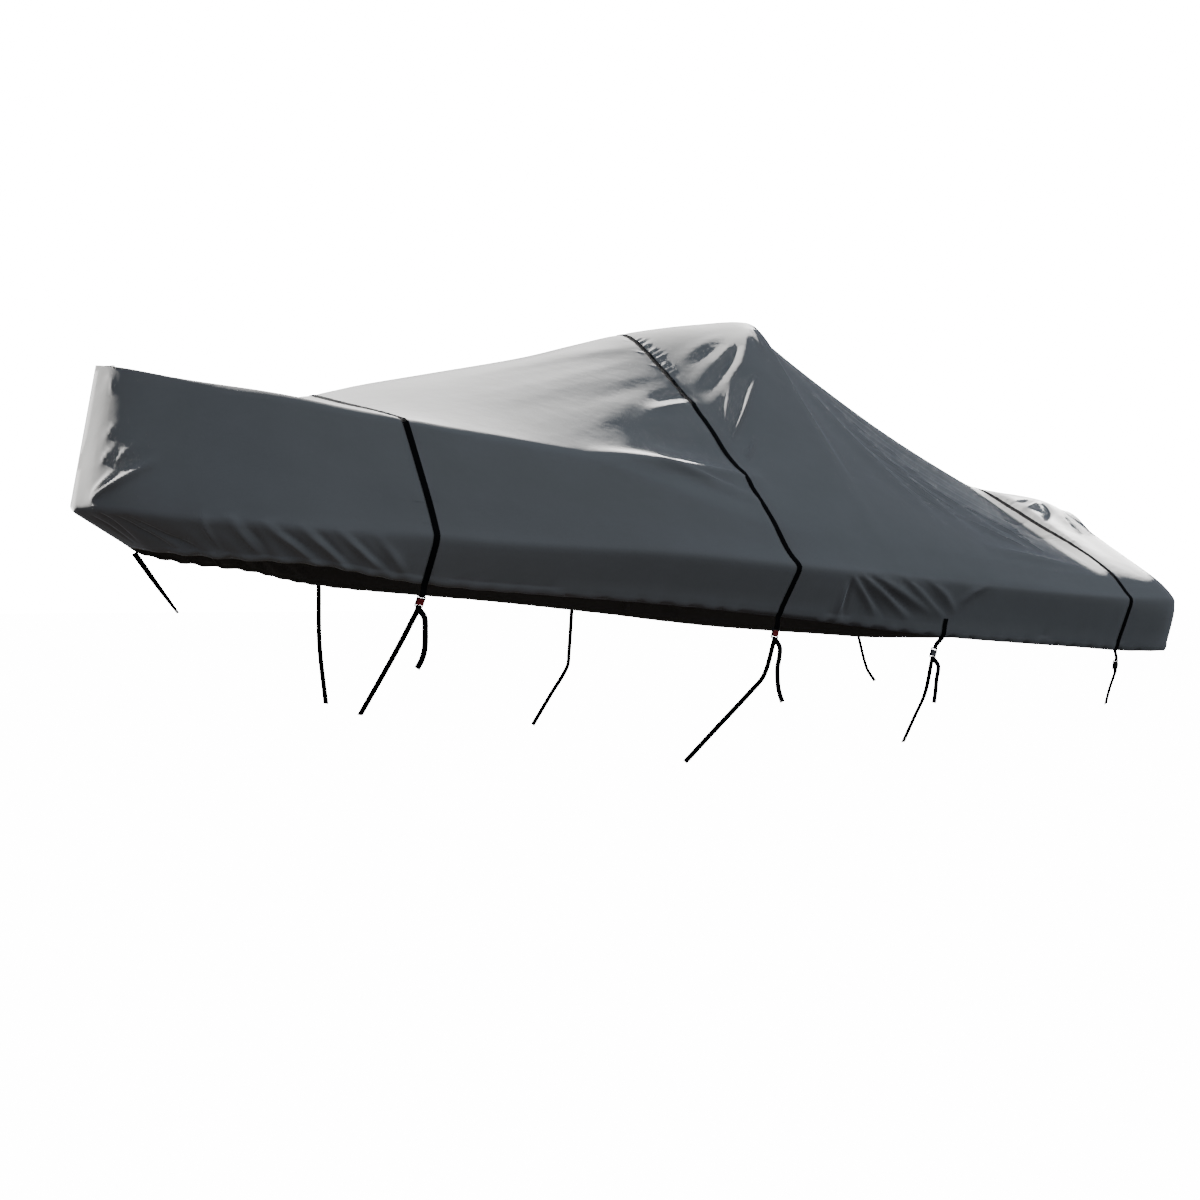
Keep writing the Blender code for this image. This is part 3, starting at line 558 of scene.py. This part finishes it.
def clothMaterial():
    # woven polyester with a coating: the eye gets a matt grey that pales in the sun, a fine tooth, drawn
    # 2.4 mm wide as the threads are too fine to show, faint mottling 200 mm wide and soft creases 90 mm wide
    material, tree, shader = newMaterial("coated_polyester")
    uv = addNode(tree, "ShaderNodeUVMap", {"uv_map": "clothMap"})
    tooth = addNode(tree, "ShaderNodeTexNoise", {"Scale": 420.0, "Detail": 2.0, "Roughness": 0.6},
                    {"Vector": (uv, "UV")})
    mottle = addNode(tree, "ShaderNodeTexNoise", {"Scale": 5.0, "Detail": 4.0, "Roughness": 0.55},
                     {"Vector": (uv, "UV")})
    shade = addNode(tree, "ShaderNodeMix", {"data_type": "RGBA", 6: linearColour(cover["shaded"]),
                                            7: linearColour(cover["sunlit"])}, {0: (mottle, 0)})
    tree.links.new(shade.outputs[2], shader.inputs["Base Color"])
    crumple = addNode(tree, "ShaderNodeTexNoise", {"Scale": 11.0, "Detail": 3.0, "Roughness": 0.5},
                      {"Vector": (uv, "UV")})
    soft = addNode(tree, "ShaderNodeBump", {"Strength": 1.0, "Distance": 0.0016}, {"Height": (crumple, 0)})
    fine = addNode(tree, "ShaderNodeBump", {"Strength": 0.25, "Distance": 0.0003},
                   {"Height": (tooth, 0), "Normal": (soft, 0)})
    tree.links.new(fine.outputs[0], shader.inputs["Normal"])
    shader.inputs["Roughness"].default_value = 0.88
    shader.inputs["Specular IOR Level"].default_value = 0.25
    shader.inputs["Sheen Weight"].default_value = 1.0
    shader.inputs["Sheen Roughness"].default_value = 0.3
    return material


def addCover():
    # port rings from the hem up, then starboard rings down to the other hem; the halves share the lines at
    # the stem and at the stern
    station, ring = np.meshgrid(stationList, ringList, indexing="ij")
    points = np.concatenate([cloth(station, ring, -1), cloth(station, ring, 1)[:, -2::-1]], 1)
    along = np.broadcast_to(runLength(points[:, mapLine:mapLine + 1]), points.shape[:2])
    across = runLength(points, 1)
    faces = adaptedFaces(points)
    corners = np.concatenate([np.asarray(face) for face in faces])
    place = np.stack([along.ravel()[corners], across.ravel()[corners]], -1)
    index = np.arange(corners.max() + 1).reshape(points.shape[:2])
    middle = len(ringList) - 1
    for line in (0, -1):
        index[line, middle:] = index[line, middle::-1]
    used, inverse = np.unique(index.ravel()[corners], return_inverse=True)
    ends = np.cumsum([len(face) for face in faces])[:-1]
    faces = [part.tolist() for part in np.split(inverse, ends)]
    piece = newPiece("cover_cloth", points.reshape(-1, 3)[used], faces, clothMaterial(), place,
                     cover["thick"], -1.0)
    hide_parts("cover_shell")
    print("cover made of {} faces".format(len(faces)))


# webbing
webbing = {
    "wide": 0.025,
    "thick": 0.0018,
    "gap": 0.0012,
    "crown": 0.0003,
    "step": 0.008,
    "colour": "#0c0c0d",
    "worn": "#141415",
}
# below the hem: each buckle's centre, then the points of the webbing under it and of its tail
buckleAt = {
    "front": (1.240, -0.868, 1.326),
    "middle": (2.828, -1.072, 1.181),
    "quarter": (3.741, -1.085, 1.072),
    "stern": (5.030, -1.058, 0.978),
}
lowerRoute = {
    "front": [(1.205, -0.640, 1.105), (1.153, -0.300, 0.821)],
    "middle": [(2.804, -1.020, 0.990), (2.768, -0.970, 0.916), (2.630, -0.910, 0.757),
               (2.492, -0.850, 0.597)],
    "quarter": [(3.730, -1.040, 0.875), (3.745, -0.945, 0.745), (3.759, -0.850, 0.615)],
    "stern": [(5.056, -1.000, 0.845), (5.085, -0.950, 0.757)],
}
tailRoute = {
    "front": [(1.250, -0.892, 1.262), (1.252, -0.896, 1.215), (1.250, -0.895, 1.135), (1.236, -0.897, 1.090),
              (1.216, -0.900, 1.058)],
    "middle": [(2.836, -1.096, 1.118), (2.830, -1.100, 1.070), (2.822, -1.098, 1.026), (2.824, -1.100, 0.946),
               (2.834, -1.101, 0.905), (2.846, -1.102, 0.873)],
    "quarter": [(3.752, -1.107, 1.010), (3.738, -1.110, 0.943), (3.734, -1.108, 0.890),
                (3.722, -1.110, 0.833)],
}
quarterSewn = (3.80, 0.34)  # the station and ring that the quarter strap is sewn on at
bowRoute = [(0.250, 0.0, 1.532), (0.330, 0.0, 1.413), (0.429, 0.0, 1.272)]
buckle = {
    "wide": 0.038,
    "long": 0.052,
    "thick": 0.013,
    "bar": 0.005,
    "slot": 0.005,
    "ribSpacing": 0.0042,
    "black": "#1d1d1e",
    "red": "#a3242a",
    "grey": "#6d6e70",
}


def webbingMaterial():
    # woven polypropylene webbing: the eye gets a deep black with fine slanting ribs and hardly any gloss
    material, tree, shader = newMaterial("polypropylene_webbing")
    uv = addNode(tree, "ShaderNodeUVMap", {"uv_map": "clothMap"})
    apart = addNode(tree, "ShaderNodeSeparateXYZ", None, {0: (uv, "UV")})
    # ribs slant both ways from the middle, 3 mm apart, twice as coarse as real ones
    middle = addNode(tree, "ShaderNodeMath", {"operation": "ABSOLUTE"}, {0: (apart, 0)})
    slant = addNode(tree, "ShaderNodeMath", {"operation": "ADD"}, {0: (middle, 0), 1: (apart, 1)})
    turns = addNode(tree, "ShaderNodeMath", {"operation": "MULTIPLY", 1: 2 * np.pi / 0.003}, {0: (slant, 0)})
    rib = addNode(tree, "ShaderNodeMath", {"operation": "SINE"}, {0: (turns, 0)})
    bump = addNode(tree, "ShaderNodeBump", {"Strength": 0.8, "Distance": 0.0004}, {"Height": (rib, 0)})
    tree.links.new(bump.outputs[0], shader.inputs["Normal"])
    wear = addNode(tree, "ShaderNodeTexNoise", {"Scale": 60.0, "Detail": 3.0}, {"Vector": (uv, "UV")})
    shade = addNode(tree, "ShaderNodeMix", {"data_type": "RGBA", 6: linearColour(webbing["colour"]),
                                            7: linearColour(webbing["worn"])}, {0: (wear, 0)})
    tree.links.new(shade.outputs[2], shader.inputs["Base Color"])
    shader.inputs["Roughness"].default_value = 0.8
    shader.inputs["Specular IOR Level"].default_value = 0.1
    return material


def plasticMaterial(name, hexCode):
    # moulded acetal: the eye gets an even colour with a soft satin gloss, broken by the mould's eroded grain,
    # drawn 1 mm wide, coarser than the real one, which wouldn't show
    material, tree, shader = newMaterial(name)
    where = addNode(tree, "ShaderNodeTexCoord")
    grain = addNode(tree, "ShaderNodeTexNoise", {"Scale": 900.0, "Detail": 2.0},
                    {"Vector": (where, "Object")})
    bump = addNode(tree, "ShaderNodeBump", {"Strength": 0.3, "Distance": 0.0002}, {"Height": (grain, 0)})
    tree.links.new(bump.outputs[0], shader.inputs["Normal"])
    colour = np.array(linearColour(hexCode))
    darker = colour * (0.85, 0.85, 0.85, 1)
    shade = addNode(tree, "ShaderNodeMix", {"data_type": "RGBA", 6: darker, 7: colour}, {0: (grain, 0)})
    tree.links.new(shade.outputs[2], shader.inputs["Base Color"])
    shader.inputs["Roughness"].default_value = 0.38
    return material


def smoothRoute(points):
    # a curve through the points, at even steps (Catmull and Rom's cubic: each slope is its neighbours' chord)
    points = np.asarray(points, float)
    knots = runLength(points)
    ends = np.concatenate([[2 * points[0] - points[1]], points, [2 * points[-1] - points[-2]]])
    reach = np.concatenate([[knots[1] * 2], knots[2:] - knots[:-2], [(knots[-1] - knots[-2]) * 2]])
    tangent = (ends[2:] - ends[:-2]) / np.maximum(reach, 1e-9)[:, None]
    at = np.linspace(0, knots[-1], max(4, int(knots[-1] / webbing["step"])))
    return cubicThrough(knots, points, tangent, at)


def addWebbing(name, centres, facings, material):
    # a flat strip, very slightly crowned, carried along its centres and turned to face the way it is told to
    centres = np.asarray(centres, float)
    forward = unit(np.gradient(centres, axis=0))
    across = unit(np.cross(forward, np.broadcast_to(facings, centres.shape)))
    out = unit(np.cross(across, forward))
    v = np.linspace(-0.5, 0.5, 7)
    aside, crown = v * webbing["wide"], webbing["crown"] * (1 - (2 * v) ** 4)
    grid = centres[:, None] + across[:, None] * aside[None, :, None] + out[:, None] * crown[None, :, None]
    place = np.stack(np.broadcast_arrays(aside[None], runLength(centres)[:, None]), -1).reshape(-1, 2)
    faces = quadsOf(np.arange(grid.shape[0] * grid.shape[1]).reshape(grid.shape[:2]))
    place = place[np.asarray(faces).ravel()]
    piece = newPiece(name, grid, faces, material, place, webbing["thick"])
    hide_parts(name)
    return piece


def buckleFrame(name):
    # a buckle's centre and its three directions: down the strap, across it and outwards
    centre = placed(buckleAt[name])
    down = unit(placed(lowerRoute[name][0]) - centre)
    above = cloth(strapTable[name][0] if name in strapTable else quarterSewn[0] - 0.02, 0.0, -1)
    down = unit(down + unit(centre - above))
    across = unit(np.cross(down, (0.0, -1.0, 0.0)))
    return centre, down, across, unit(np.cross(across, down))


def fromBuckle(name, points):
    centre, down, across, out = buckleFrame(name)
    return [centre + down * along + out * off for along, off in points]


def throughSlot(end):
    # webbing turns over a buckle's end bar into its slot: (down the buckle, out)
    slot = buckle["long"] / 2 - buckle["bar"] - buckle["slot"] / 2
    over = buckle["bar"] / 2 + webbing["thick"] / 2 + 0.0006
    return [(end * (slot + along), off) for along, off in
            ((0.022, over), (0.012, over), (0.0040, over), (0.0016, over - 0.0006), (0.0003, over - 0.0020),
             (0.0, -0.0020))]


def overTheTop(name):
    # centres and facings of a strap, from the hem up over the ridge and down to the other hem: each stretch
    # is moved straight out from the cloth and meets the next one at a mitre
    rings = ringList[::4]
    under, normals, lifts = [], [], []
    for side, path in ((-1, rings), (1, rings[-2::-1])):
        here = strapStation(name, path)
        normals.append(clothNormal(here, path) * (1, -side, 1))
        near = np.stack([cloth(here + share * webbing["wide"], path, side)
                         for share in (-0.5, -0.25, 0, 0.25, 0.5)])
        under.append(near[2])
        highest = np.max(np.sum((near - near[2]) * normals[-1], -1), 0)
        lifts.append(highest + webbing["gap"] + webbing["thick"] / 2)
    under, normals, lifts = np.concatenate(under), np.concatenate(normals), np.concatenate(lifts)
    run = unit(np.diff(under, axis=0))
    out = normals[:-1] + normals[1:]
    out = unit(out - np.sum(out * run, axis=1, keepdims=True) * run)
    before, after = np.vstack([out[:1], out]), np.vstack([out, out[-1:]])
    mitre = (before + after) / (1 + np.sum(before * after, axis=1, keepdims=True))
    return under + mitre * lifts[:, None], unit(mitre)


def addStraps():
    material = webbingMaterial()
    outward = np.array((0.0, -1.0, 0.0))
    for name in strapTable:
        centres, facings = overTheTop(name)
        start = np.array(fromBuckle(name, throughSlot(-1))[::-1])
        facing = buckleFrame(name)[3]
        mirrored = smoothRoute(np.vstack([centres[-1:], placed(lowerRoute[name]) * (1, -1, 1)]))[2:]
        route = np.vstack([start, centres, mirrored])
        turned = np.vstack([np.tile(facing, (len(start), 1)), facings, np.tile(-outward, (len(mirrored), 1))])
        addWebbing("strap_" + name, route, turned, material)
    rings = np.array([quarterSewn[1], 0.27, 0.2, 0.14, 0.08, 0.03, 0.0])
    sewn = cloth(quarterSewn[0], rings, -1) + clothNormal(quarterSewn[0] + 0 * rings, rings) * (
        webbing["gap"] + webbing["thick"] / 2 + 0.001)
    addWebbing("strap_quarter", np.vstack([sewn, fromBuckle("quarter", throughSlot(-1))]), outward, material)
    for name in buckleAt:
        inside = np.array(fromBuckle(name, throughSlot(1))[::-1])
        lower = smoothRoute(np.vstack([inside[-1:], placed(lowerRoute[name])]))[1:]
        addWebbing("strap_{}_foot".format(name), np.vstack([inside, lower]), outward, material)
    for name, points in tailRoute.items():
        rise = buckle["thick"] - buckle["bar"] / 2
        start = fromBuckle(name, [(0.017, rise + 0.002), (0.026, rise + 0.001)])
        addWebbing("tail_" + name, smoothRoute(np.vstack([start, placed(points)])), outward, material)
    # the bow webbing lies flat to the side at its top and turns edge on as it goes down
    bow = smoothRoute(placed(bowRoute))
    turn = np.linspace(1.35, 0.30, len(bow))[:, None]
    facing = np.cos(turn) * (-0.8, 0.0, -0.6) + np.sin(turn) * outward
    addWebbing("strap_bow", bow, facing, material)
    print("webbing made")


def loopPath(long, wide, corner, count=12):
    # a rounded rectangle in the (down, across) plane, as centres and outward directions
    turn = np.linspace(0, np.pi / 2, count)
    centres, outs = [], []
    for quarter, (sx, sz) in enumerate(((1, 1), (-1, 1), (-1, -1), (1, -1))):
        angle = turn + quarter * np.pi / 2
        out = np.stack([np.cos(angle), np.sin(angle)], -1)
        centres.append(np.array((sx * (long / 2 - corner), sz * (wide / 2 - corner))) + corner * out)
        outs.append(out)
    return np.vstack(centres), np.vstack(outs)


def ringTube(centres, outs, half, power=4.0, sides=16):
    # a rounded square profile carried round a closed path: |a|^power + |b|^power = 1
    angle = np.linspace(0, 2 * np.pi, sides, endpoint=False)
    c, s = np.cos(angle), np.sin(angle)
    reach = (np.abs(c) ** power + np.abs(s) ** power) ** (-1 / power) * half
    grid = np.zeros((len(centres), sides, 3))
    grid[..., 0] = centres[:, :1] + outs[:, :1] * (c * reach)
    grid[..., 2] = centres[:, 1:] + outs[:, 1:] * (c * reach)
    grid[..., 1] = (s * reach)[None]
    return grid


def softBlock(size, away, power=5.0, ribs=0.0, dish=0.0):
    # a rounded block: the direction (u, v) reaches out to |x|^p + |y|^p + |z|^p = 1; its outer face may be
    # ribbed and dished
    u, v = np.meshgrid(np.linspace(-np.pi / 2, np.pi / 2, 33), np.linspace(-np.pi, np.pi, 48, endpoint=False),
                       indexing="ij")
    way = np.stack([np.sin(u), np.cos(u) * np.cos(v), np.cos(u) * np.sin(v)], -1)
    reach = np.sum(np.abs(way) ** power, -1) ** (-1 / power)
    point = way * reach[..., None] * (np.asarray(size) / 2)
    top = smoothStep(0.2, 0.9, way[..., 1] * reach)
    rib = ribs * np.cos(2 * np.pi * point[..., 0] / buckle["ribSpacing"])
    point[..., 1] += top * (rib - dish * np.cos(np.pi * point[..., 0] / size[0]) ** 2)
    return point + away


def closedFaces(shape, base, wrapRows):
    # quads of a grid whose columns wrap round, and whose rows do so too if they are told to
    index = np.arange(shape[0] * shape[1]).reshape(shape) + base
    if wrapRows:
        index = np.vstack([index, index[:1]])
    beside = np.roll(index, -1, 1)
    return np.stack([index[:-1], beside[:-1], beside[1:], index[1:]], -1).reshape(-1, 4).tolist()


def addMoulding(name, grids, directions, material):
    # closed grids in a buckle's own directions become one piece with its faces turned outwards
    points, faces = [], []
    for grid, wrapRows in grids:
        faces += closedFaces(grid.shape[:2], sum(len(p) for p in points), wrapRows)
        points.append(grid.reshape(-1, 3))
    centre, down, _, out = directions
    local = np.vstack(points)
    turned = centre + local[:, :1] * down + local[:, 1:2] * out + local[:, 2:] * np.cross(down, out)
    piece = newPiece(name, turned, faces, material)
    shape = bmesh.new()
    shape.from_mesh(piece.data)
    bmesh.ops.remove_doubles(shape, verts=shape.verts, dist=1e-6)
    bmesh.ops.recalc_face_normals(shape, faces=shape.faces)
    shape.to_mesh(piece.data)
    shape.free()
    return piece


def addBuckles():
    black = plasticMaterial("black_acetal", buckle["black"])
    red = plasticMaterial("red_acetal", buckle["red"])
    grey = plasticMaterial("grey_acetal", buckle["grey"])
    colours = {"front": red, "middle": red, "quarter": grey, "stern": black}
    # each has a frame, a bar beside each slot, a web between the bars and a dished, ribbed lever on top
    long, wide, bar = buckle["long"], buckle["wide"], buckle["bar"]
    rise = buckle["thick"] - bar / 2
    inner = long / 2 - bar - buckle["slot"] - bar / 2
    outer = ringTube(*loopPath(long - bar, wide - bar, 0.004), bar / 2)
    crossBars = [softBlock((bar, bar, wide - bar), (end * inner, 0, 0), 6.0) for end in (-1, 1)]
    web = softBlock((2 * inner, bar * 0.6, wide - bar), (0, -bar * 0.15, 0), 8.0)
    body = [(outer, True)] + [(part, False) for part in crossBars + [web]]
    lever = softBlock((2 * inner - 0.002, rise - 0.003, wide - 0.009), (0.001, 0.0015 + rise / 2, 0), 5.0,
                      ribs=0.0004, dish=0.002)
    for name in buckleAt:
        directions = buckleFrame(name)
        piece = addMoulding("buckle_" + name, body, directions, black)
        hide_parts("buckle_" + name)
        addMoulding("lever_" + name, [(lever, False)], directions, colours[name])
    print("buckles made")


addCamera()
addFloor()
addLight()
addCover()
addStraps()
addBuckles()
bpy.context.scene.view_settings.view_transform = "AgX"
bpy.context.scene.view_settings.look = "None"
